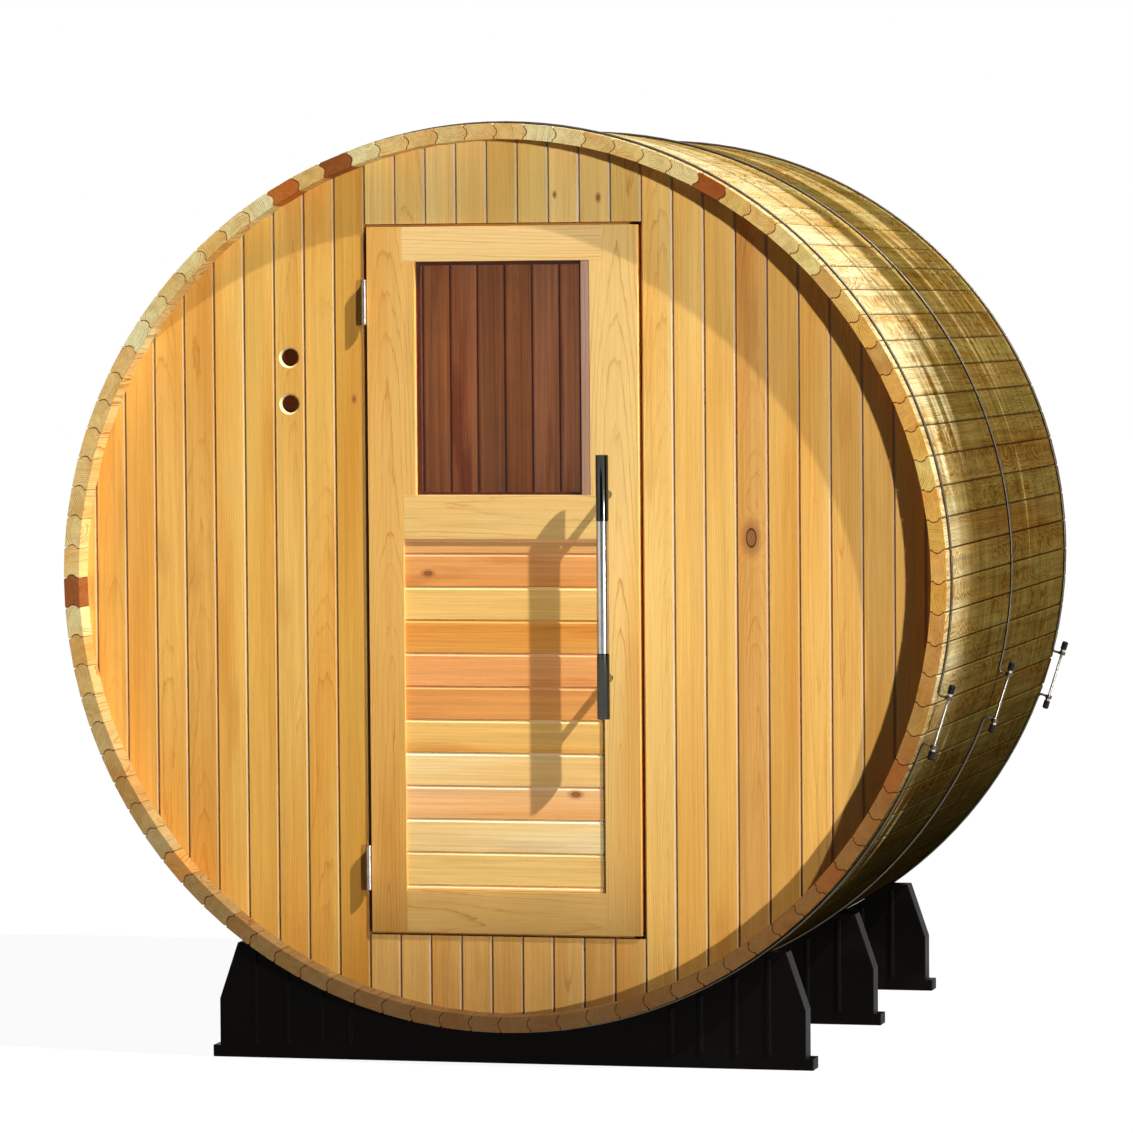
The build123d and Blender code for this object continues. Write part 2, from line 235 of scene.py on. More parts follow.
# open-air greying of the outside, with a dark olive tone that is partly painted shade, paler bands running round the
# barrel that are painted sunlight patches, a painted highlight along the front edge, painted light towards the front
# and the top, and painted shade underneath
def openAirWash(n, given):
    x, y, z = n.split(given["Position"])
    back, above, grain = y - given["Front"], z - given["Axis Height"], given["Grain Colour"]

    def bands(around, across):
        return n.noise(n.vector(x * around, back * across, z * around), 1, 2)

    wide, thin = bands(1.1, 7.0), bands(2.6, 22.0)
    # painted sunlight patches, more of them towards the top and the front
    level = (thin - 0.5) * 0.37 + wide + n.ramp(above, -0.25, 1.02, -0.16, 0.23) + n.ramp(back, 0.0, 0.95, 0.14, -0.18)
    # a painted highlight along the front edge of the upper shell
    rim = n.ramp(wide * -0.18 + back, -0.04, 0.04, 0.85, 0.0) * n.ramp(above, -0.6, -0.1)
    # a band of painted sunlight patches along the side, towards the front
    belt = n.ramp(n.calc("ABSOLUTE", above + 0.06), 0.08, 0.44, 0.7, 0.0)
    belt = belt * n.ramp(wide * -0.5 + back, -0.15, 0.2, 1.0, 0.0)
    sunPatch = n.calc("MAXIMUM", n.calc("MAXIMUM", n.ramp(level, 0.47, 0.72), rim), belt)
    lot = n.chance(given["Seed"] * 91.7)
    # greyed cedar, darkened further as painted shade
    agedAndShaded = n.blend(n.ramp(lot, 0.1, 0.9), n.tint(grain, given["Aged Tint"]), n.tint(grain, given["Brown Tint"]))
    # painted light: brighter towards the front and the top
    paintedLightLift = n.ramp((wide - 0.5) * 0.9 + back, 0.02, 0.45, 1.7, 0.72) * n.ramp(above, 0.15, 0.9, 1.0, 1.45)
    # the changes: stave streaks and lot, painted shade underneath, and painted light above
    for change in (thin + (lot * 0.6 + 0.2), n.ramp(above, -0.85, -0.02, 0.22, 1.0), paintedLightLift):
        agedAndShaded = n.scale(agedAndShaded, change)
    # colour of the painted sunlight patches, duller further back
    sunPatchColour = n.tint(grain, given["Pale Tint"])
    sunPatchColour = n.blend(n.ramp(back, 0.25, 0.85), sunPatchColour, n.tint(sunPatchColour, given["Dull Tint"]))
    edge = n.ramp(n.calc("ABSOLUTE", given["Across"]) / given["Board Half"], 0.93, 0.985)
    return {"Colour": n.scale(n.blend(sunPatch, agedAndShaded, sunPatchColour), edge * -0.7 + 1.0)}


# painted shade: darker, warmer wood towards the ground, with an uneven edge
def dampFoot(n, given):
    unshaded = given["Dry Colour"]
    height = n.split(given["Position"])[2] - given["Lowest"] + (n.noise(given["Position"], 5.0, 3, 0.6) - 0.5) * 0.10
    foot = n.ramp(height, 0.0, 0.4, given["Damp Shade"], 1.0) * n.ramp(height, 0.12, 1.15, 0.80, 1.0)
    mixed = n.blend(n.ramp(height, 0.0, 1.3, 1.0, 0.0), unshaded, n.tint(unshaded, given["Damp Tint"]))
    return {"Colour": n.scale(mixed, foot)}


# rolled and bent steel: cloudy tarnish and fine drawing lines
def metalWear(n, given):
    place = n.scale(given["Position"], given["Cloud Scale"])
    cloud, fine = n.noise(place, 1, 3, 0.6), n.noise(place, 22, 2, 0.6)
    rough = given["Base Roughness"] + (cloud - 0.4) * 0.25
    return {"Shade": n.ramp(cloud, 0.3, 0.75, 1.0, 0.72), "Roughness": fine * 0.08 + rough, "Height": fine}


# black moulded plastic and rubber: fine pebbled skin with dusty patches
def mouldSkin(n, given):
    dust = n.noise(given["Position"], 7, 4, 0.6)
    colour = n.blend(n.ramp(dust, 0.48, 0.75), given["Colour"], n.tint(given["Colour"], (2.3, 2.1, 1.8)))
    return {"Colour": colour, "Roughness": dust * 0.3 + 0.33,
            "Height": n.noise(n.scale(given["Position"], given["Pebble"]))}


grainGroup = makeGroup("cedarGrain", {
    "Color": ["Board Colour"], "Vector": ["Place", "Pith", "Knot"],
    "Float": ["Seed", "Ring Spacing", "Ring Strength", "Line Sharpness", "Streak Strength", "Waviness"]}, cedarGrain)
weatherAndSunGroup = makeGroup("openAirWash", {
    "Color": ["Grain Colour", "Aged Tint", "Brown Tint", "Pale Tint", "Dull Tint"], "Vector": ["Position"],
    "Float": ["Front", "Axis Height", "Board Half", "Across", "Seed"]}, openAirWash)
shadeBelowGroup = makeGroup("dampFoot", {
    "Color": ["Dry Colour", "Damp Tint"], "Vector": ["Position"], "Float": ["Lowest", "Damp Shade"]}, dampFoot)
metalGroup = makeGroup("metalWear", {"Vector": ["Position"], "Float": ["Cloud Scale", "Base Roughness"]}, metalWear)
mouldGroup = makeGroup("mouldSkin", {"Color": ["Colour"], "Vector": ["Position"], "Float": ["Pebble"]}, mouldSkin)
grainBump = {"distance": 0.0006, "strength": 0.5}


def startMaterial(name):
    material = bpy.data.materials.new(name)
    material.use_nodes = True
    return material, Shade(material.node_tree), material.node_tree.nodes["Principled BSDF"]


def cedar(name, spacing=0.004, rings=0.6, streaks=0.3, tint=None, rough=0.55, sharp=5.0, shine=0.25, wave=0.0,
          shadeBelow=None, lowest=0.05, outside=None):
    material, n, shader = startMaterial(name)
    tone, place = n.attribute("tone"), n.attribute("place")["Vector"]
    wood = n.use(grainGroup, Board_Colour=(0.98, 0.96, 0.94) if outside else tone["Color"], Seed=tone["Alpha"],
                 Place=place, Pith=n.attribute("pith")["Vector"], Knot=n.attribute("knot")["Vector"],
                 Ring_Spacing=spacing, Ring_Strength=rings, Line_Sharpness=sharp, Streak_Strength=streaks,
                 Waviness=wave)
    colour = n.tint(wood["Colour"], tint) if tint else wood["Colour"]
    # painted shade: the wood gets darker and warmer towards the ground
    if shadeBelow:
        colour = n.use(shadeBelowGroup, Dry_Colour=colour, Position=n.position(), Damp_Shade=shadeBelow, Lowest=lowest,
                       Damp_Tint=(1.0, 0.93, 0.78))["Colour"]
    # open-air greying with painted sunlight patches, highlight and shade
    if outside:
        colour = n.use(weatherAndSunGroup, Grain_Colour=colour, Position=n.position(), Seed=tone["Alpha"],
                       Across=n.split(place)[1], **outside)["Colour"]
    n.fill(shader, Base_Color=colour, Roughness=wood["Rings"] * -0.12 + rough, Specular_IOR_Level=shine)
    n.bump(shader, wood["Height"], **grainBump)
    return material


def plainCedar(name, colour):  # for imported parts, by position
    material, n, shader = startMaterial(name)
    x, y, z = n.split(n.position())
    wood = n.use(grainGroup, Board_Colour=colour, Seed=0.3, Place=n.vector(x, z, y), Pith=(0.0, 0.12, 0.01),
                 Knot=(0, 0, 0), Ring_Spacing=0.004, Ring_Strength=0.6, Line_Sharpness=5.0, Streak_Strength=0.3)
    n.fill(shader, Base_Color=wood["Colour"], Roughness=0.6)
    n.bump(shader, wood["Height"], **grainBump)
    return material


def steel(name, colour, rough, cloud):
    material, n, shader = startMaterial(name)
    worn = n.use(metalGroup, Position=n.position(), Cloud_Scale=cloud, Base_Roughness=rough)
    n.fill(shader, Base_Color=n.scale(colour, worn["Shade"]), Roughness=worn["Roughness"], Metallic=1.0)
    n.bump(shader, worn["Height"], 0.0002, 0.15)
    return material


def moulded(name, colour, pebble):
    material, n, shader = startMaterial(name)
    skin = n.use(mouldGroup, Position=n.position(), Colour=colour, Pebble=pebble)
    n.fill(shader, Base_Color=skin["Colour"], Roughness=skin["Roughness"], Specular_IOR_Level=0.05)
    n.bump(shader, skin["Height"], 0.0004, 0.35)
    return material


def tintedGlass(name, tint):
    material, n, shader = startMaterial(name)
    smear = n.noise(n.position(), 9, 3, 0.6)
    n.fill(shader, Base_Color=n.blend(n.ramp(smear, 0.3, 0.8), tint, [c * 0.9 for c in tint]),
           Roughness=n.ramp(smear, 0.5, 0.9, 0.0, 0.05), Transmission_Weight=1.0, IOR=1.45)
    clear = n.node("BsdfTransparent", tint)
    shadow = n.node("LightPath").outputs["Is Shadow Ray"]
    n.surface(n.node("MixShader", shadow, shader.outputs[0], clear.outputs[0]))
    return material


# timber: every board carries its own grain frame, pith line, knot and tone
def startTimber():
    return {label: [] for label in ("points", "faces", "slots", "place", "pith", "knot", "tone")}


def addBoard(timber, shape, origin, along, across, look):
    points, faces, slots = shape
    first = len(timber["points"])
    origin, along, across = Vector(origin), Vector(along), Vector(across)
    deep = along.cross(across)
    for point in points:
        offset = Vector(point) - origin
        timber["points"].append(tuple(point))
        timber["place"].append((offset.dot(along), offset.dot(across), offset.dot(deep)))
        timber["pith"].append(look["pith"])
        timber["knot"].append(look.get("knot", (0, 0, 0)))
        timber["tone"].append((*look["tone"], look["seed"]))
    timber["faces"] += [[first + i for i in face] for face in faces]
    timber["slots"] += slots


def placePiece(name, mesh, body, materials, nodes, smooth):
    for material in materials:
        mesh.materials.append(material)
    piece = bpy.data.objects.new(name, mesh)
    scene.collection.objects.link(piece)
    mesh.polygons.foreach_set("use_smooth", [True] * len(mesh.polygons))
    mesh.set_sharp_from_angle(angle=math.radians(smooth))
    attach(piece, body)
    if nodes:
        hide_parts(*nodes)


def finishTimber(timber, name, body, materials, nodes=(), smooth=15):
    mesh = bpy.data.meshes.new(name)
    mesh.from_pydata(timber["points"], [], timber["faces"])
    for label in ("place", "pith", "knot"):
        layer = mesh.attributes.new(label, "FLOAT_VECTOR", "POINT")
        layer.data.foreach_set("vector", [c for row in timber[label] for c in row])
    layer = mesh.attributes.new("tone", "FLOAT_COLOR", "POINT")
    layer.data.foreach_set("color", [c for row in timber["tone"] for c in row])
    mesh.polygons.foreach_set("material_index", timber["slots"])
    placePiece(name, mesh, body, materials, nodes, smooth)


def boardLook(rng, tones, flat=0.5, spread=0.05):
    tone = rng.choice(tones)
    lift = 1 + rng.uniform(-spread, spread)
    side = rng.choice((-1, 1))
    if rng.random() < flat:  # flat-sawn: the pith runs close under the board, so cathedrals show
        pith = (rng.uniform(-0.02, 0.02), rng.choice((-1, 1)) * rng.uniform(0.02, 0.06), rng.uniform(-0.07, 0.07))
    else:  # quarter-sawn: straight close lines
        pith = (side * rng.uniform(0.09, 0.22), rng.uniform(-0.05, 0.05), rng.uniform(-0.012, 0.012))
    return {"tone": [min(1.0, c * lift) for c in tone], "seed": rng.random(), "pith": pith}


def shapeOf(form, slots):  # the points, faces and slots of a bmesh, which it frees
    form.verts.index_update()
    shape = ([vert.co.copy() for vert in form.verts], [[vert.index for vert in face.verts] for face in form.faces],
             [slots(face) for face in form.faces])
    form.free()
    return shape


def easedBox(low, high, ease):
    low, high = Vector(low), Vector(high)
    form = bmesh.new()
    bmesh.ops.create_cube(form, size=1)
    for vert in form.verts:
        vert.co = Vector([low[i] + (vert.co[i] + 0.5) * (high[i] - low[i]) for i in range(3)])
    bmesh.ops.bevel(form, geom=form.edges[:], offset=ease, segments=2, profile=0.5, affect="EDGES")
    return shapeOf(form, lambda face: 0)


def addBeam(timber, low, high, axis, ease, look):
    low, high = Vector(low), Vector(high)
    sizes = high - low
    wide = max([i for i in range(3) if i != axis], key=lambda i: sizes[i])
    along, across = Vector((0, 0, 0)), Vector((0, 0, 0))
    along[axis], across[wide] = 1, 1
    centre = (low + high) / 2
    centre[axis] = low[axis]
    addBoard(timber, easedBox(low, high, ease), centre, along, across, look)


def makeBeams(name, beams, ease, body, wood, nodes=()):  # beams of (low, high, axis, look)
    timber = startTimber()
    for low, high, axis, look in beams:
        addBeam(timber, low, high, axis, ease, look)
    finishTimber(timber, name, body, [wood], nodes)


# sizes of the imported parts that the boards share
wallLow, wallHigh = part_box("back_wall")
discRadius = (wallHigh.x - wallLow.x) / 2
axisHeight = (wallHigh.z + wallLow.z) / 2
frontLow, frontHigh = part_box("front_wall_over_door")
openHalf, openTop = frontHigh.x, frontLow.z
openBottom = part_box("front_wall_under_door")[1].z
wallFront, wallInside = (corner.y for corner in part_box("front_wall_left"))
shellFront, shellBack = (corner.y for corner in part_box("shell_upper_right_1"))

# shell: 92 bead-and-cove staves
staveForm = {
    "count": 92, "radius": 1.067, "thickness": 0.038, "gap": 0.0012, "ease": 0.0032, "endEase": 0.0011,
    "beadWidth": 0.024, "beadRise": 0.0075, "beadClearance": 0.0006, "beadSteps": 9, "wallClearance": 0.0002,
    "groups": (8, 7, 8), "endShift": 0.0008, "uneven": 0.0013,
}
staveTones = [(0.78, 0.56, 0.23), (0.85, 0.64, 0.30), (0.79, 0.52, 0.19), (0.72, 0.49, 0.18), (0.86, 0.67, 0.34),
              (0.76, 0.48, 0.17)]
staveAccents = {84: (0.62, 0.20, 0.035), 86: (0.34, 0.10, 0.02), 7: (0.42, 0.12, 0.02), 68: (0.36, 0.12, 0.03),
                29: (0.44, 0.15, 0.03), 33: (0.40, 0.15, 0.035), 58: (0.66, 0.36, 0.10), 15: (0.74, 0.42, 0.11),
                12: (0.80, 0.50, 0.15), 24: (0.78, 0.42, 0.11)}
halfTurn = math.pi / staveForm["count"]
flatRadius = staveForm["radius"] * math.cos(halfTurn)
innerRadius = flatRadius - staveForm["thickness"]

# the shell's outside: greyed cedar whose dark olive tints are partly painted shade, with painted sunlight patches and a
# painted highlight
shellOutside = cedar("shellOutside", 0.0062, 1.4, 0.75, rough=0.8, sharp=1.9, shine=0.0, wave=0.05, outside={
    "Front": shellFront, "Axis_Height": axisHeight, "Board_Half": staveForm["radius"] * math.sin(halfTurn),
    "Aged_Tint": (0.268, 0.200, 0.050), "Brown_Tint": (0.180, 0.114, 0.028), "Pale_Tint": (0.95, 0.84, 0.48),
    "Dull_Tint": (0.76, 0.68, 0.46)})
# ring ends and stave sides: painted shade towards the ground
shellWood = cedar("shellWood", 0.0042, 1.3, 0.35, rough=0.6, sharp=2.5, shadeBelow=0.75)
roomWood = cedar("roomWood", 0.0036, 0.6, 1.0, (0.50, 0.30, 0.36), 0.6)
seamWood = cedar("seamWood", 0.003, 0.5, 0.5, (0.50, 0.33, 0.22), 0.7)
staveSlots = {"outside": 0, "wood": 1, "seam": 2, "room": 3}
ringShades = {"lift": (1.24, 1.33, 1.40), "most": (0.98, 0.9, 1.0), "brown": (0.58, 0.26, 0.06),
              "shadeBelow": (0.27, 0.145, 0.05)}


def ringTone(rng, turn):  # creamy at the top, orange at the right, brown at the lower right, and darker underneath with painted shade
    base = Vector([min(most, c * lift) for c, lift, most
                   in zip(rng.choice(staveTones), ringShades["lift"], ringShades["most"])])
    right = max(0.0, math.sin(turn))
    under = max(0.0, -math.cos(turn) - 0.05) ** 0.8
    lowRight = right * max(0.0, -math.cos(turn)) * 2
    base = base.lerp(Vector((base.x * 0.98, base.y * rng.uniform(0.70, 0.84), base.z * 0.42)), right)
    base = base.lerp(Vector(ringShades["brown"]), min(0.95, lowRight * rng.uniform(0.8, 1.5)))
    # towards the bottom the tone goes to the dark shade-below colour: painted shade
    return tuple(base.lerp(Vector(ringShades["shadeBelow"]), min(1.0, under * 1.05)))


def staveSection(inner):  # bead on one edge, cove on the other, flat inside
    half, rise, ease, gap = staveForm["beadWidth"] / 2, staveForm["beadRise"], staveForm["ease"], staveForm["gap"] / 2
    out, end = flatRadius * math.tan(halfTurn) - gap, inner * math.tan(halfTurn) - gap
    normal = Vector((math.cos(halfTurn), -math.sin(halfTurn)))
    down = Vector((-math.sin(halfTurn), -math.cos(halfTurn)))
    middle = -down * (flatRadius - staveForm["thickness"] / 2)

    def bulge(radius):
        spots = [-half + 2 * half * k / staveForm["beadSteps"] for k in range(staveForm["beadSteps"] + 1)]
        return [(t, max(0.0, math.sqrt(max(radius ** 2 - t ** 2, 0)) - radius + rise)) for t in spots]

    radius = (half ** 2 + rise ** 2) / (2 * rise)
    bead = [middle + down * t + normal * (offset - gap) for t, offset in bulge(radius)]
    cove = []
    for t, offset in bulge(radius + staveForm["beadClearance"]):
        edge = middle + down * t
        cove.append(Vector((-edge.x, edge.y)) + Vector((normal.x, -normal.y)) * (offset + gap))
    corner = Vector((out - ease * math.sin(halfTurn), flatRadius - ease))
    loop = [Vector((-out + ease, flatRadius)), Vector((out - ease, flatRadius)), corner]
    loop += [Vector((p.x, max(p.y, inner))) for p in bead]
    loop += [Vector((end, inner)), Vector((-end, inner))]
    loop += [Vector((p.x, max(p.y, inner))) for p in reversed(cove)]
    return loop + [Vector((-corner.x, corner.y))]


def addStave(timber, index, look, rng):
    shift = abs(rng.uniform(-staveForm["endShift"], staveForm["endShift"]))
    y0, y1 = shellFront + shift, shellBack - shift
    clear, ease = staveForm["wallClearance"], staveForm["endEase"]
    full = staveSection(innerRadius + rng.uniform(0, staveForm["uneven"]))
    cut = staveSection(discRadius + clear)
    centre = Vector((0, sum(p.y for p in full) / len(full)))
    stations = [(y0, [p + (centre - p).normalized() * ease for p in full]), (y0 + ease, full)]
    for a, b in ((wallFront - clear, wallInside + clear), (wallLow.y - clear, wallHigh.y + clear)):
        stations += [(a, full), (a, cut), (b, cut), (b, full)]
    stations += [(y1 - ease, full), (y1, stations[0][1])]
    turn = (2 * index + 1) * halfTurn
    cos, sin = math.cos(turn), math.sin(turn)
    points = [(p.x * cos + p.y * sin, y, axisHeight - p.x * sin + p.y * cos)
              for y, section in stations for p in section]
    size, last = len(full), len(stations) - 1
    faces, slots = [], []
    for k in range(last):
        for i in range(size):
            j = (i + 1) % size
            faces.append([k * size + i, (k + 1) * size + i, (k + 1) * size + j, k * size + j])
            outer, bevel, betweenWalls = i in (0, 1, size - 1), k in (0, last - 1), k == 5
            slots.append(staveSlots["seam" if bevel and not outer else "outside" if outer and not bevel
                                    else "room" if betweenWalls else "wood"])
    faces += [list(range(size)), [last * size + i for i in reversed(range(size))]]
    slots += [staveSlots["wood"]] * 2
    middle = flatRadius - staveForm["thickness"] / 2
    origin = (middle * sin, shellFront, axisHeight + middle * cos)
    addBoard(timber, (points, faces, slots), origin, (0, 1, 0), (cos, 0, -sin), look)


rng = random.Random(41)
index = 0
for quadrant in ("upper_right", "lower_right", "lower_left", "upper_left"):
    for number, size in enumerate(staveForm["groups"], 1):
        timber = startTimber()
        for _ in range(size):
            look = boardLook(rng, staveTones, flat=0.75, spread=0.06)
            look["tone"] = staveAccents.get(index) or ringTone(rng, (2 * index + 1) * halfTurn)
            addStave(timber, index, look, rng)
            index += 1
        name = f"{quadrant}_{number}"
        finishTimber(timber, f"staves_{name}", "hut", [shellOutside, shellWood, seamWood, roomWood],
                     [f"shell_{name}"], smooth=30)
print("staves made")

# end walls: upright tongue-and-groove boards with V joints
wallForm = {"boardsOverDoor": 9, "joint": 0.0036, "jointDeep": 0.0035, "openLine": 0.0005, "tongue": 0.008,
            "tongueIn": 0.0005, "tongueOut": 0.0014, "leastTongue": 0.01, "columns": 4, "rimClear": 0.0006,
            "leastBoard": 0.002, "leastTall": 0.001, "mostJoint": 0.3}
ventForm = {"x": -0.5219, "drops": (0.306, 0.416), "radius": 0.021, "rim": 0.0042, "lip": 0.012, "past": 0.01,
            "sides": 48}
wallTones = {
    "left": [(0.77, 0.43, 0.095), (0.80, 0.46, 0.10), (0.74, 0.41, 0.085), (0.82, 0.48, 0.115), (0.76, 0.40, 0.085)],
    "right": [(0.90, 0.52, 0.135), (0.87, 0.49, 0.12), (0.92, 0.54, 0.145), (0.85, 0.47, 0.11)],
    "over": [(0.86, 0.58, 0.185), (0.82, 0.54, 0.17), (0.90, 0.62, 0.22), (0.80, 0.54, 0.16)],
    "under": [(0.78, 0.46, 0.14), (0.82, 0.50, 0.16), (0.74, 0.42, 0.12)],
    "back": [(0.78, 0.43, 0.10), (0.88, 0.49, 0.12), (0.80, 0.46, 0.12), (0.84, 0.45, 0.11), (0.74, 0.42, 0.11)]}
wallSpecials = {  # boards picked out by number, from the door outwards or from the left
    "left": {0: {"tone": (0.70, 0.37, 0.065), "knot": (1.573, 0.010, 0.0036)}, 6: {"tone": (0.80, 0.44, 0.10)}},
    "right": {0: {"tone": (0.95, 0.61, 0.185)}, 1: {"tone": (0.94, 0.58, 0.165)}, 2: {"tone": (0.91, 0.54, 0.14)},
              3: {"tone": (0.78, 0.42, 0.115), "knot": (1.246, -0.002, 0.0135), "pith": (0.01, -0.035, 0.05)}},
    "over": {7: {"knot": (2.042, 0.010, 0.004)}, 6: {"knot": (2.05, -0.02, 0.003)}}}
windowBoards = [(-0.66, (0.90, 0.50, 0.14)), (-0.59, (0.92, 0.50, 0.12)), (-0.52, (0.96, 0.50, 0.14)),
                (-0.44, (0.66, 0.35, 0.08)), (-0.37, (0.78, 0.43, 0.10)), (-0.30, (0.94, 0.55, 0.19)),
                (-0.22, (0.86, 0.48, 0.15))]  # of the rear wall, by where each is
# wall boards: painted shade towards the ground
wallWood = cedar("wallWood", 0.0052, 0.68, 0.30, rough=0.5, sharp=7.0, shadeBelow=0.6)
rearRoomWood = cedar("rearRoomWood", 0.0036, 0.6, 1.0, (0.98, 0.86, 1.0), 0.6)
# joint faces: painted shade towards the ground
jointWood = cedar("jointWood", 0.0042, 0.3, 0.3, (0.68, 0.80, 1.65), 0.6, shadeBelow=0.6)
cutWood = cedar("cutWood", 0.003, 0.5, 0.3, (1.12, 1.6, 3.6), 0.6)
# dark tint for the deeper part of the vent bores, painted shade, and for one face of each joint inside the rear wall
boreWood = cedar("boreWood", 0.003, 0.5, 0.3, (0.20, 0.07, 0.05), 0.6)
wallSlots = {"face": 0, "room": 1, "joint": 2, "cut": 3, "bore": 4}
pitch = 2 * openHalf / wallForm["boardsOverDoor"]
safeRadius = discRadius - wallForm["rimClear"]


def arcTop(x):
    return axisHeight + math.sqrt(max(safeRadius ** 2 - x * x, 0))


def arcLow(x):
    return 2 * axisHeight - arcTop(x)


def wallBoard(x0, x1, lowAt, highAt, y0, y1, outsideBack):
    joint, columns = min(wallForm["joint"], (x1 - x0) * wallForm["mostJoint"]), wallForm["columns"]
    x0, x1 = x0 + wallForm["openLine"], x1 - wallForm["openLine"]
    xs = [x0] + [x0 + joint + (x1 - x0 - 2 * joint) * k / columns for k in range(columns + 1)] + [x1]
    last = len(xs) - 1
    points, faces, slots = [], [], []
    for i, x in enumerate(xs):
        inset = wallForm["jointDeep"] if i in (0, last) else 0
        low, high = lowAt(x), max(highAt(x), lowAt(x) + wallForm["leastTall"])
        points += [(x, y, z) for y in (y0 + inset, y1 - inset) for z in (low, high)]
    for i in range(last):
        a, b = 4 * i, 4 * (i + 1)
        faces += [[a, b, b + 1, a + 1], [a + 2, a + 3, b + 3, b + 2], [a + 1, b + 1, b + 3, a + 3],
                  [a, a + 2, b + 2, b]]
        outward = wallSlots["joint" if i in (0, last - 1) else "face"]
        roomward = wallSlots["bore" if outsideBack and i == last - 1 else "room"]
        slots += [roomward, outward, 0, 0] if outsideBack else [outward, roomward, 0, 0]
    end = 4 * last
    faces += [[0, 1, 3, 2], [end, end + 2, end + 3, end + 1]]
    slots += [0, 0]
    first, mid, half = len(points), (y0 + y1) / 2, wallForm["tongue"] / 2  # tongue that closes the joint
    near, far = xs[-1] - wallForm["tongueIn"], xs[-1] + wallForm["tongueOut"]
    low, high = max(lowAt(xs[-1]), lowAt(far)), min(highAt(xs[-1]), highAt(far))
    if high > low + wallForm["leastTongue"]:
        for x in (near, far):
            points += [(x, mid - half, low), (x, mid + half, low), (x, mid + half, high), (x, mid - half, high)]
        corners = ([0, 1, 2, 3], [7, 6, 5, 4], [0, 4, 5, 1], [1, 5, 6, 2], [2, 6, 7, 3], [3, 7, 4, 0])
        faces += [[first + i for i in face] for face in corners]
        slots += [wallSlots["room"]] * 6
    return points, faces, slots


def linked(name, mesh):
    thing = bpy.data.objects.new(name, mesh)
    scene.collection.objects.link(thing)
    return thing


def cutHoles(shape, holes):  # round countersunk holes through a board, each (x, z)
    points, faces, slots = shape
    mesh = bpy.data.meshes.new("cutBoard")
    mesh.from_pydata(points, [], faces)
    for _ in range(3):
        mesh.materials.append(None)
    mesh.polygons.foreach_set("material_index", slots)
    board = linked("cutBoard", mesh)
    face, far = min(p[1] for p in points), max(p[1] for p in points)
    radius, rim, past, sides = ventForm["radius"], ventForm["rim"], ventForm["past"], ventForm["sides"]
    form = bmesh.new()
    for x, z in holes:
        rings = []
        for y, wide in ((face - past, rim + past), (face + rim, 0), (face + ventForm["lip"], 0), (far + past, 0)):
            angles = [2 * math.pi * k / sides for k in range(sides)]
            rings.append([form.verts.new((x + (radius + wide) * math.cos(a), y, z + (radius + wide) * math.sin(a)))
                          for a in angles])
        for k in range(sides):
            following = (k + 1) % sides
            for first, second in zip(rings, rings[1:]):
                form.faces.new([first[k], first[following], second[following], second[k]])
        form.faces.new(list(reversed(rings[0])))
        form.faces.new(rings[-1])
    bmesh.ops.recalc_face_normals(form, faces=form.faces[:])
    toolMesh = bpy.data.meshes.new("cutTool")
    form.to_mesh(toolMesh)
    form.free()
    tool = linked("cutTool", toolMesh)
    modifier = board.modifiers.new("holes", "BOOLEAN")
    modifier.operation, modifier.object, modifier.solver = "DIFFERENCE", tool, "EXACT"
    bpy.context.view_layer.update()
    done = bpy.data.meshes.new_from_object(board.evaluated_get(bpy.context.evaluated_depsgraph_get()))
    slots = []
    for side in done.polygons:
        inHole = any(math.hypot(side.center.x - x, side.center.z - z) < radius + rim for x, z in holes)
        if inHole and abs(side.normal.y) < 0.9:
            # past the lip the bore takes the dark tint: painted shade
            slots.append(wallSlots["cut" if side.center.y < face + ventForm["lip"] else "bore"])
        else:
            slots.append(min(side.material_index, 2))
    result = ([v.co.copy() for v in done.vertices], [list(p.vertices) for p in done.polygons], slots)
    bpy.data.objects.remove(board)
    bpy.data.objects.remove(tool)
    bpy.data.meshes.remove(done)
    return result


def makeWall(name, node, tones, strips, lowAt, highAt, rng, special, holes=()):
    timber = startTimber()
    y0, y1 = (corner.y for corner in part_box(node))
    back = node == "back_wall"
    for k, (x0, x1) in enumerate(strips):
        look = boardLook(rng, wallTones[tones], flat=0.42)
        look.update(special.get(k, {}))
        shape = wallBoard(x0, x1, lowAt, highAt, y0, y1, back)
        inside = [hole for hole in holes if x0 < hole[0] < x1]
        if inside:
            shape = cutHoles(shape, inside)
        addBoard(timber, shape, ((x0 + x1) / 2, (y0 + y1) / 2, 0), (0, 0, 1), (1, 0, 0), look)
    woods = [wallWood, rearRoomWood if back else roomWood, jointWood, cutWood, boreWood]
    finishTimber(timber, name, "hut", woods, [node], smooth=20)


def boardsFrom(start, direction, end):  # board edges from the door outwards
    strips, k = [], 0
    while direction * (start + direction * k * pitch) < direction * end - wallForm["leastBoard"]:
        a, b = start + direction * k * pitch, start + direction * (k + 1) * pitch
        strips.append(tuple(sorted((a, direction * min(direction * b, direction * end)))))
        k += 1
    return strips


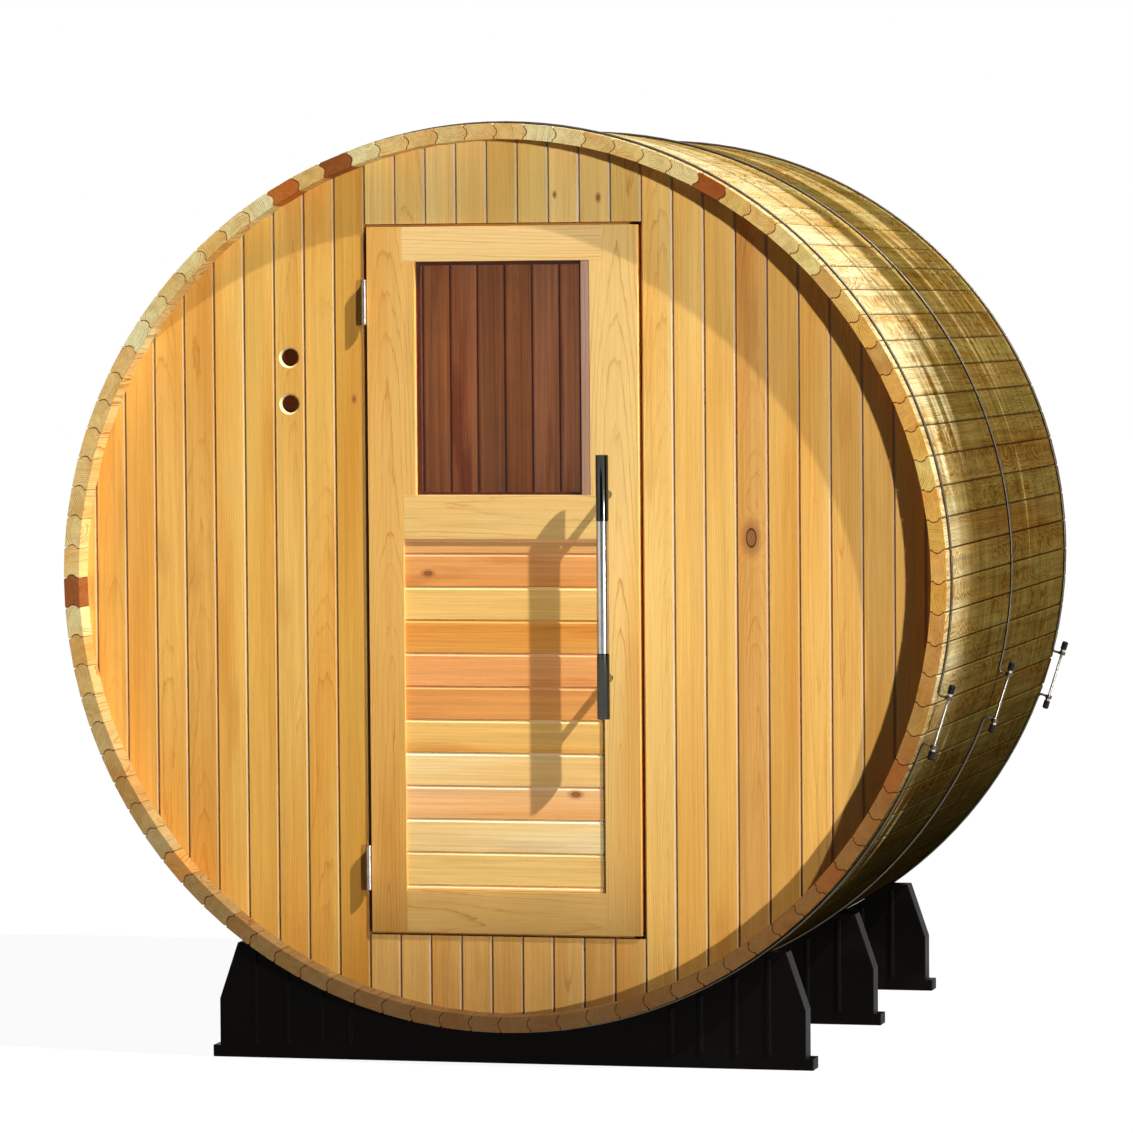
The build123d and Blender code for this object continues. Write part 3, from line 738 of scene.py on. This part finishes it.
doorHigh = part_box("door_stile_left")[1]
rng = random.Random(17)
leftOf, rightOf = boardsFrom(-openHalf, -1, -safeRadius), boardsFrom(openHalf, 1, safeRadius)
over = [(-openHalf + k * pitch, -openHalf + (k + 1) * pitch) for k in range(wallForm["boardsOverDoor"])]
makeWall("boards_front_left", "front_wall_left", "left", leftOf, arcLow, arcTop, rng, wallSpecials["left"],
         [(ventForm["x"], doorHigh.z - drop) for drop in ventForm["drops"]])
makeWall("boards_front_right", "front_wall_right", "right", rightOf, arcLow, arcTop, rng, wallSpecials["right"])
makeWall("boards_over_door", "front_wall_over_door", "over", over, lambda x: openTop, arcTop, rng,
         wallSpecials["over"])
makeWall("boards_under_door", "front_wall_under_door", "under", over, arcLow, lambda x: openBottom, rng, {})
acrossBack = sorted(leftOf + over + rightOf)
makeWall("boards_back", "back_wall", "back", acrossBack, arcLow, arcTop, random.Random(5),
         {k: {"tone": tone} for k, (x0, x1) in enumerate(acrossBack) for at, tone in windowBoards if x0 < at < x1})
print("walls made")

# door leaf
doorForm = {"ease": 0.0007, "stripEase": 0.0003, "beadEase": 0.001, "glassTongue": 0.008, "panelPitch": 0.0785,
            "panelFirst": 0.034, "leastPanel": 0.004, "panelLip": (0.0016, 0.0036), "panelSlope": (0.0075, 0.0033)}
# door leaf: painted shade towards the ground, from a little above the sill
doorWood = cedar("doorWood", 0.0072, 1.4, 0.18, rough=0.48, sharp=11.0, shadeBelow=0.42, lowest=0.17)
panelWood = cedar("panelWood", 0.003, 0.4, 0.4, rough=0.5)
# paler tint for the upward slope of each panel board: a painted highlight
panelEdge = cedar("panelEdge", 0.003, 0.3, 0.3, (1.12, 1.30, 1.9), 0.5)
leafLooks = {
    "door_stile_left": {"axis": 2, "tone": (0.79, 0.45, 0.12), "pith": (0.004, -0.030, 0.055)},
    "door_stile_right": {"axis": 2, "tone": (0.89, 0.58, 0.20), "pith": (-0.006, -0.034, 0.045)},
    "door_rail_top": {"axis": 0, "tone": (0.885, 0.595, 0.235), "pith": (0.10, -0.04, 0.0)},
    "door_rail_middle": {"axis": 0, "tone": (0.845, 0.545, 0.188), "pith": (0.02, -0.06, 0.02)},
    "door_rail_bottom": {"axis": 0, "tone": (0.92, 0.58, 0.20), "pith": (-0.02, -0.05, -0.03)},
}
rng = random.Random(8)
for node, look in leafLooks.items():
    look["seed"] = rng.random()
    makeBeams(node.replace("door_", "leaf_"), [(*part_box(node), look["axis"], look)], doorForm["ease"], "door",
              doorWood, [node])

glassLow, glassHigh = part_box("door_glass")
stripLow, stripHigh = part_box("door_window_strips")
leftIn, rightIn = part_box("door_stile_left")[1].x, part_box("door_stile_right")[0].x
paneHalf = (glassHigh.x - glassLow.x) / 2 - doorForm["glassTongue"]
timber = startTimber()
for a, b, stile in ((leftIn, -paneHalf, "door_stile_left"), (paneHalf, rightIn, "door_stile_right")):
    low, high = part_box(stile)  # one board with the stile
    addBoard(timber, easedBox((a, stripLow.y, stripLow.z), (b, stripHigh.y, stripHigh.z), doorForm["stripEase"]),
             ((low.x + high.x) / 2, (low.y + high.y) / 2, low.z), (0, 0, 1), (1, 0, 0), leafLooks[stile])
finishTimber(timber, "leaf_window_strips", "door", [doorWood], ["door_window_strips"])

# beads round the glass: dark ones inside, and one outside at the right; the inner beads' very dark tone and the outer
# bead's grey-lilac tone are painted shade
beadForm = {"left": 0.008, "right": 0.029, "top": 0.009, "foot": 0.006, "thick": 0.012, "clear": 0.0003,
            "shade": 0.021, "shadeThick": 0.0130, "pith": (0.1, 0.03, 0.01), "innerShadeTone": (0.13, 0.050, 0.030),
            "paintedShadeTone": (0.44, 0.265, 0.195)}
z0, z1 = stripLow.z, stripHigh.z
y0, y1 = glassHigh.y + beadForm["clear"], glassHigh.y + beadForm["thick"]
x0, x1 = -paneHalf + beadForm["left"], paneHalf - beadForm["right"]
front = glassLow.y - beadForm["clear"]
inner = [((-paneHalf, y0, z0), (x0, y1, z1), 2), ((x1, y0, z0), (paneHalf, y1, z1), 2),
         ((x0, y0, z1 - beadForm["top"]), (x1, y1, z1), 0), ((x0, y0, z0), (x1, y1, z0 + beadForm["foot"]), 0)]
shade = [((paneHalf - beadForm["shade"], front - beadForm["shadeThick"], z0), (paneHalf, front, z1), 2)]
for name, tone, spans in (("leaf_inner_beads", beadForm["innerShadeTone"], inner),
                          ("leaf_glass_bead", beadForm["paintedShadeTone"], shade)):
    makeBeams(name, [(*span, {"tone": tone, "seed": rng.random(), "pith": beadForm["pith"]}) for span in spans],
              doorForm["beadEase"], "door", doorWood)

panelTones = [(0.80, 0.40, 0.13), (0.80, 0.35, 0.10), (0.88, 0.55, 0.17), (0.84, 0.39, 0.085), (0.86, 0.38, 0.12),
              (0.78, 0.33, 0.085), (0.86, 0.50, 0.14), (0.90, 0.63, 0.27), (0.88, 0.50, 0.21), (0.87, 0.67, 0.34),
              (0.78, 0.50, 0.16), (0.80, 0.46, 0.15)]
panelKnots = {1: (0.057, -0.008, 0.0055), 8: (0.412, 0.022, 0.0060)}
panelLow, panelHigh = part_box("door_panel")
panelTop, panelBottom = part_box("door_rail_middle")[0].z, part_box("door_rail_bottom")[1].z
joints = [panelTop, panelTop - doorForm["panelFirst"]]
while joints[-1] - doorForm["panelPitch"] > panelBottom + doorForm["leastPanel"]:
    joints.append(joints[-1] - doorForm["panelPitch"])
joints.append(panelBottom)


def panelBoard(low, high):  # short dark lip under, long slope that catches the light on top
    (lip, lipDeep), (slope, slopeDeep) = doorForm["panelLip"], doorForm["panelSlope"]
    outline = [(high.y, low.z), (low.y + lipDeep, low.z), (low.y, low.z + lip), (low.y, high.z - slope),
               (low.y + slopeDeep, high.z), (high.y, high.z)]
    form = bmesh.new()
    ends = [[form.verts.new((x, y, z)) for y, z in outline] for x in (low.x, high.x)]
    for k in range(len(outline)):
        n = (k + 1) % len(outline)
        form.faces.new([ends[0][k], ends[0][n], ends[1][n], ends[1][k]])
    form.faces.new(ends[0])
    form.faces.new(list(reversed(ends[1])))
    bmesh.ops.recalc_face_normals(form, faces=form.faces[:])
    # the upward slope takes the paler tint, a painted highlight
    return shapeOf(form, lambda face: 1 if face.normal.z > 0.2 and face.normal.y < -0.5 else 0)


timber = startTimber()
for k in range(len(joints) - 1):
    look = {"tone": panelTones[k % len(panelTones)], "seed": rng.random(), "knot": panelKnots.get(k, (0, 0, 0)),
            "pith": (rng.choice((-1, 1)) * rng.uniform(0.03, 0.12), -rng.uniform(0.03, 0.07), rng.uniform(-0.02, 0.02))}
    low, high = Vector((leftIn, panelLow.y, joints[k + 1])), Vector((rightIn, panelHigh.y, joints[k]))
    middle = (low + high) / 2
    addBoard(timber, panelBoard(low, high), (low.x, middle.y, middle.z), (1, 0, 0), (0, 0, 1), look)
finishTimber(timber, "leaf_panel_boards", "door", [panelWood, panelEdge], ["door_panel"], 20)

# door frame: a casing on the inside of the wall and a stop in the opening
casing = {"ease": 0.002, "stop": 0.025, "tone": (0.76, 0.42, 0.10), "pith": (0.08, 0.03, 0.01)}
frameWood = cedar("frameWood", rings=0.5, tint=(0.9, 0.75, 0.7))
for node in ("door_jamb_left", "door_jamb_right", "door_head", "door_sill"):
    low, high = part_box(node)
    look = {"tone": casing["tone"], "seed": rng.random(), "pith": casing["pith"]}
    if "jamb" in node:
        side = -1 if "left" in node else 1
        edge, inner, outer = (low.x, openHalf, high.x) if side > 0 else (high.x, -openHalf, low.x)
        spans = [((min(inner, outer), wallInside, low.z), (max(inner, outer), high.y, high.z), 2),
                 ((min(inner, edge), low.y, openBottom), (max(inner, edge), high.y, openTop), 2)]
    else:
        level, inward, outward = (openTop, low.z, high.z) if node == "door_head" else (openBottom, high.z, low.z)
        clear = openHalf - casing["stop"]
        spans = [((-openHalf, wallInside, min(level, outward)), (openHalf, high.y, max(level, outward)), 0),
                 ((-clear, low.y, min(level, inward)), (clear, high.y, max(level, inward)), 0)]
    makeBeams(node.replace("door_", "frame_"), [(*span, look) for span in spans], casing["ease"], "hut", frameWood,
              [node])
print("door made")

# floor inside the room
floorForm = {"board": 0.094, "space": 0.012, "ease": 0.004}
floorWood = cedar("floorWood", 0.0045, rough=0.62)
rng = random.Random(23)
floorTones = [(0.72, 0.44, 0.14), (0.78, 0.50, 0.18), (0.66, 0.38, 0.11)]
low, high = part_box("floor_boards")
step = floorForm["board"] + floorForm["space"]
starts = [low.x + k * step for k in range(round((high.x - low.x + floorForm["space"]) / step))]
makeBeams("floor_planks", [((x, low.y, low.z), (x + floorForm["board"], high.y, high.z), 1,
                            boardLook(rng, floorTones, flat=0.6)) for x in starts],
          floorForm["ease"], "hut", floorWood, ["floor_boards"])


def shown(node, material, bevel=0.0):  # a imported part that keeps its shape
    thing = frame["nodes"][node]
    if not thing.data.materials:
        thing.data.materials.append(material)
    for slot in thing.material_slots:
        slot.material = material
    if bevel:
        thing.modifiers.new("weld", "WELD").merge_threshold = 0.00001
        edge = thing.modifiers.new("edge", "BEVEL")
        edge.width, edge.segments, edge.limit_method, edge.angle_limit = bevel, 2, "ANGLE", math.radians(32)
        edge.harden_normals = False


shown("floor_bearers", plainCedar("bearerCedar", (0.68, 0.40, 0.12)))
print("floor made")

# hardware
hoopSteel = steel("hoopSteel", (0.11, 0.092, 0.068), 0.38, 40)
boltSteel = steel("boltSteel", (0.44, 0.42, 0.37), 0.26, 60)
pullSteel = steel("pullSteel", (0.62, 0.60, 0.57), 0.12, 12)
hingeSteel = steel("hingeSteel", (0.36, 0.32, 0.28), 0.30, 50)
capRubber = moulded("capRubber", (0.012, 0.012, 0.012), 900)
cradlePlastic = moulded("cradlePlastic", (0.0016, 0.0012, 0.0009), 350)
windowTint = tintedGlass("windowTint", (0.60, 0.44, 0.41))
hoops = ("hoop_front", "hoop_middle", "hoop_rear")
for node in hoops:
    shown(node, hoopSteel)


def addTurned(form, profile, origin, axis, segments, bands=()):  # profile of (radius, height along the axis)
    axis = Vector(axis).normalized()
    side = Vector((0, 1, 0)) if abs(axis.y) < 0.5 else axis.orthogonal().normalized()
    other = axis.cross(side)
    angles = [2 * math.pi * k / segments for k in range(segments)]
    rings = []
    for radius, height in profile:
        centre = Vector(origin) + axis * height
        rings.append([form.verts.new(centre)] if radius < 1e-6 else
                     [form.verts.new(centre + side * radius * math.cos(a) + other * radius * math.sin(a))
                      for a in angles])
    for i, (low, high) in enumerate(zip(rings, rings[1:])):
        band = next((slot for slot, first, last in bands if first <= i < last), 0)
        for k in range(segments):
            n = (k + 1) % segments
            corners = [low[k % len(low)], low[n % len(low)], high[n % len(high)], high[k % len(high)]]
            form.faces.new(list(dict.fromkeys(corners))).material_index = band


def finishTurned(form, name, body, materials, nodes=(), smooth=40):
    bmesh.ops.recalc_face_normals(form, faces=form.faces[:])
    mesh = bpy.data.meshes.new(name)
    form.to_mesh(mesh)
    form.free()
    placePiece(name, mesh, body, materials, nodes, smooth)


# hoop tensioners: threaded rods with chamfered nuts and rubber caps
boltForm = {"hoopRadius": 1.0702, "angle": -17.5, "half": 0.058, "bend": 0.009, "stand": 0.026, "tip": 0.028,
            "radius": 0.0035, "threadDeep": 0.00045, "pitch": 0.00125, "halfEye": 0.004, "nut": 0.007,
            "flats": 0.012, "chamfer": (0.88, 0.0012), "crest": (0.4, 0.6), "rodSides": 14, "capSides": 28}
capProfile = [(0.0036, 0.0), (0.0074, 0.0), (0.0080, 0.0006), (0.0080, 0.0040), (0.0075, 0.0046), (0.0075, 0.0056),
              (0.0080, 0.0062), (0.0080, 0.0088), (0.0075, 0.0094), (0.0075, 0.0104), (0.0080, 0.0110), (0.0080, 0.0160),
              (0.0077, 0.0182), (0.0066, 0.0199), (0.0045, 0.0208), (0.0, 0.0210)]
endTurn = math.asin((boltForm["half"] + boltForm["bend"]) / boltForm["hoopRadius"])
tip, nutLong, halfEye, threadPitch = boltForm["tip"], boltForm["nut"], boltForm["halfEye"], boltForm["pitch"]
crest, root = boltForm["radius"], boltForm["radius"] - boltForm["threadDeep"]
corner = boltForm["flats"] / 2 / math.cos(math.pi / 6)
inset, chamfer = corner * boltForm["chamfer"][0], boltForm["chamfer"][1]
nut = [(root, 0.0), (inset, 0.0), (corner, chamfer), (corner, nutLong - chamfer), (inset, nutLong), (root, nutLong)]
bolts, caps = bmesh.new(), bmesh.new()
for node in hoops:
    low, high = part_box(node)
    ends = []
    for sign in (-1, 1):
        angle = math.radians(boltForm["angle"]) + sign * endTurn
        out = Vector((math.cos(angle), 0, math.sin(angle)))
        along = Vector((-out.z, 0, out.x)) * -sign
        ends.append(Vector((0, (low.y + high.y) / 2, axisHeight)) + out * (boltForm["hoopRadius"] + boltForm["stand"])
                    + along * boltForm["bend"])
    axis = (ends[1] - ends[0]).normalized()
    reach = (ends[1] - ends[0]).length
    thread = [(0.0, -tip)]
    for k in range(int((reach + 2 * tip) / threadPitch)):
        start = -tip + k * threadPitch
        thread += [(root, start)] + [(crest, start + threadPitch * share) for share in boltForm["crest"]]
    thread += [(root, reach + tip), (0.0, reach + tip)]
    addTurned(bolts, thread, ends[0], axis, boltForm["rodSides"])
    for start in (-halfEye - nutLong, reach + halfEye):
        addTurned(bolts, nut, ends[0] + axis * start, axis, 6)
    for end, way in ((ends[0], -axis), (ends[1], axis)):
        addTurned(caps, capProfile, end + way * (halfEye + nutLong), way, boltForm["capSides"])
finishTurned(bolts, "threaded_bolts", "hut", [boltSteel], ["tensioner_bolts"], 25)
finishTurned(caps, "bolt_caps", "hut", [capRubber], ["tensioner_caps"], 50)

# handle: black end sleeves, a bright middle and a small plate under each post
pullForm = {"sleeve": 0.153, "seam": 0.0012, "groove": 0.0004, "flush": 0.0002, "rim": 0.0018, "segments": 48,
            "plate": 0.0096, "plateDeep": 0.002, "plateEase": (0.0008, 0.0006), "postSides": 32, "intoBar": 0.8}
pullBlack = steel("pullBlack", (0.075, 0.078, 0.070), 0.07, 12)
low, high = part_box("handle_ends")
barX, barY, barR = (low.x + high.x) / 2, (low.y + high.y) / 2, (high.x - low.x) / 2
seam, groove, rim, flush = pullForm["seam"], pullForm["groove"], pullForm["rim"], barR - pullForm["flush"]
halfProfile = [(0, 0), (barR - rim, 0), (barR - rim * 0.3, rim * 0.3), (barR, rim), (barR, pullForm["sleeve"]),
               (barR - seam, pullForm["sleeve"] + groove), (barR - seam, pullForm["sleeve"] + seam),
               (flush, pullForm["sleeve"] + 1.4 * seam)]
form = bmesh.new()
addTurned(form, [(r, low.z + z) for r, z in halfProfile] + [(r, high.z - z) for r, z in reversed(halfProfile)],
          (barX, barY, 0), (0, 0, 1), pullForm["segments"], [(1, 7, 8)])
finishTurned(form, "pull_bar", "door", [pullBlack, pullSteel], ["handle_bar", "handle_ends"])
low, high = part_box("handle_posts")
postR = (high.x - low.x) / 2
reach = high.y - (barY + barR * pullForm["intoBar"])
plate, deep, (easeIn, easeOut) = pullForm["plate"], pullForm["plateDeep"], pullForm["plateEase"]
form = bmesh.new()
for level in (low.z + postR, high.z - postR):
    profile = [(0, 0.0), (plate - easeIn, 0.0), (plate, easeIn), (plate, deep - easeOut), (plate - easeOut, deep),
               (postR, deep), (postR, reach), (0, reach)]
    addTurned(form, profile, (barX, high.y, level), (0, -1, 0), pullForm["postSides"])
finishTurned(form, "pull_posts", "door", [pullBlack], ["handle_posts"])

# rounded tips on the hinge pins
hingeForm = {"pinX": -0.33175, "pinIn": 0.0065, "tall": 0.102, "tipSides": 24}
tipProfile = [(0.0058, -0.001), (0.0062, 0.0), (0.0058, 0.0014), (0.0044, 0.0026), (0.0022, 0.0034), (0.0, 0.0036)]
form = bmesh.new()
low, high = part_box("hinge_frame_leaves")
for level, way in ((low.z, -1), (low.z + hingeForm["tall"], 1), (high.z - hingeForm["tall"], -1), (high.z, 1)):
    addTurned(form, tipProfile, (hingeForm["pinX"], low.y + hingeForm["pinIn"], level), (0, 0, way),
              hingeForm["tipSides"])
finishTurned(form, "hinge_tips", "hut", [hingeSteel])
for node in ("hinge_frame_leaves", "hinge_door_leaves"):
    shown(node, hingeSteel)
shown("door_glass", windowTint)
for node in ("cradle_front", "cradle_middle", "cradle_rear"):
    shown(node, cradlePlastic, bevel=0.002)
print("hardware made")


# studio: pale floor, lamps from the right, one from behind for the far side, and an even sky
def named(*starts):
    return [piece.name for piece in bpy.data.objects if piece.name.startswith(starts)]


highToward, lowToward = (0.611, -0.258, 0.748), (0.72, -0.69, 0.02)
studio = {
    "sky": 0.022, "floorColour": 0.075, "floorGlow": 0.94, "floorHalf": 60,
    "highSun": {"toward": highToward, "strength": 3.7, "angle": 0.8},
    "softSun": {  # past the top of the shell, for the door and the left boards, so that shadows there are paler
        "toward": highToward, "strength": 3.0, "angle": 0.8,
        "passes": [name for name in named("staves_upper") if name != "staves_upper_right_3"],
        "skips": [name for name in named("staves_", "boards_", "frame_", "floor_") if name != "boards_front_left"]
        + ["studioFloor"]},
    "sideSun": {"toward": lowToward, "strength": 1.88, "angle": 2.0, "passes": ["pull_bar", "pull_posts"]},
    "wallSun": {  # only for the front boards at the right of the door, over it and under it
        "toward": lowToward, "strength": 1.05, "angle": 2.0,
        "skips": [piece.name for piece in bpy.data.objects
                  if piece.type == "MESH" and not piece.name.startswith("boards_")]
        + ["boards_back", "boards_front_left", "studioFloor"]},
    "backSun": {"toward": (-0.62, 0.70, 0.34), "strength": 1.7, "angle": 8.0},
    "roomLamp": {"place": (-0.32, -0.60, 1.75), "aim": (-0.52, 0.81, 1.60), "power": 1.6, "size": 0.3, "spread": 78,
                 "skips": named("staves_")},
}


def backgroundRays(n):
    path = n.outs(n.node("LightPath"))
    seen = n.calc("MAXIMUM", path["Is Camera Ray"], path["Is Glossy Ray"])
    return n.calc("MAXIMUM", seen, path["Is Transmission Ray"])


def stagePlane(name, corners, material):
    mesh = bpy.data.meshes.new(name)
    mesh.from_pydata(corners, [], [[0, 1, 2, 3]])
    mesh.materials.append(material)
    plane = linked(name, mesh)
    return plane


corners = ((-1, -1), (1, -1), (1, 1), (-1, 1))
paper, n, shader = startMaterial("floorPaper")
n.fill(shader, Base_Color=[studio["floorColour"]] * 3, Roughness=0.9, Specular_IOR_Level=0.0,
       Emission_Color=(1, 1, 1))
glow = n.fill(n.node("Emission"), Strength=backgroundRays(n) * studio["floorGlow"])
n.surface(n.node("AddShader", shader.outputs[0], glow.outputs[0]))
stagePlane("studioFloor", [(studio["floorHalf"] * a, studio["floorHalf"] * b, 0) for a, b in corners], paper)

# dark cards round the sauna, seen only in reflections, as round polished metal in a studio
cards = [((-0.84, -15.98, 1.4), 13.0, 9.0), ((7.97, 0.70, 2.0), 12.0, 8.0), ((-7.88, 1.39, 2.0), 9.2, 8.0)]
cardBlack, n, shader = startMaterial("cardBlack")
n.fill(shader, Base_Color=(0.01, 0.01, 0.01), Roughness=1.0)
for number, (place, wide, tall) in enumerate(cards):
    aside = Vector((place[1], -place[0], 0)).normalized() * wide / 2
    card = stagePlane(f"studioCard{number}", [tuple(Vector(place) + aside * a + Vector((0, 0, tall / 2 * b)))
                                              for a, b in corners], cardBlack)
    card.visible_camera = card.visible_diffuse = card.visible_shadow = card.visible_transmission = False

world = bpy.data.worlds.new("studioSky")
scene.world = world
world.use_nodes = True
n = Shade(world.node_tree)
n.fill(world.node_tree.nodes["Background"], Color=(1, 1, 1),
       Strength=backgroundRays(n) * (1 - studio["sky"]) + studio["sky"])


def linkLamp(name, pieces):  # the pieces that a lamp leaves out
    left = bpy.data.collections.new(name)
    for piece in pieces:
        left.objects.link(bpy.data.objects[piece])
    for row in left.collection_objects:
        row.light_linking.link_state = "EXCLUDE"
    return left


def addLamp(name, lamp, toward, values):
    holder = linked(name, lamp)
    holder.rotation_mode = "QUATERNION"
    holder.rotation_quaternion = Vector(toward).to_track_quat("Z", "Y")
    if "passes" in values:
        holder.light_linking.blocker_collection = linkLamp(name + "Passes", values["passes"])
    if "skips" in values:
        holder.light_linking.receiver_collection = linkLamp(name + "Skips", values["skips"])
    return holder


for name in ("highSun", "softSun", "sideSun", "wallSun", "backSun"):
    values = studio[name]
    lamp = bpy.data.lights.new(name, "SUN")
    lamp.energy, lamp.angle = values["strength"], math.radians(values["angle"])
    addLamp(name, lamp, values["toward"], values)
values = studio["roomLamp"]
lamp = bpy.data.lights.new("roomLamp", "AREA")
lamp.energy, lamp.size, lamp.spread = values["power"], values["size"], math.radians(values["spread"])
addLamp("roomLamp", lamp, Vector(values["place"]) - Vector(values["aim"]), values).location = values["place"]

# camera at the photograph's viewpoint; its picture is 1133 pixels square
cameraView = {"yaw": 0.24003, "pitch": -0.04283, "roll": -0.00765, "place": (3.32333, -13.93581, 1.78226),
              "focal": 5745.35, "centre": (552.64, 555.25), "picture": 1133, "sensor": 36, "farthest": 200}
yaw, dip, roll = cameraView["yaw"], cameraView["pitch"], cameraView["roll"]
ahead = Vector((-math.sin(yaw) * math.cos(dip), math.cos(yaw) * math.cos(dip), math.sin(dip)))
level = Vector((math.cos(yaw), math.sin(yaw), 0))
upward = level.cross(ahead)
right = math.cos(roll) * level + math.sin(roll) * upward
above = -math.sin(roll) * level + math.cos(roll) * upward
picture, centre = cameraView["picture"], cameraView["centre"]
lens = bpy.data.cameras.new("camera")
lens.sensor_width = cameraView["sensor"]
lens.lens = cameraView["focal"] / picture * cameraView["sensor"]
lens.shift_x = (picture / 2 - centre[0]) / picture
lens.shift_y = (centre[1] - picture / 2) / picture
lens.clip_end = cameraView["farthest"]
camera = linked("camera", lens)
camera.matrix_world = Matrix.Translation(cameraView["place"]) @ Matrix((right, above, -ahead)).transposed().to_4x4()
scene.camera = camera
scene.view_settings.view_transform = "Standard"
print("studio set")
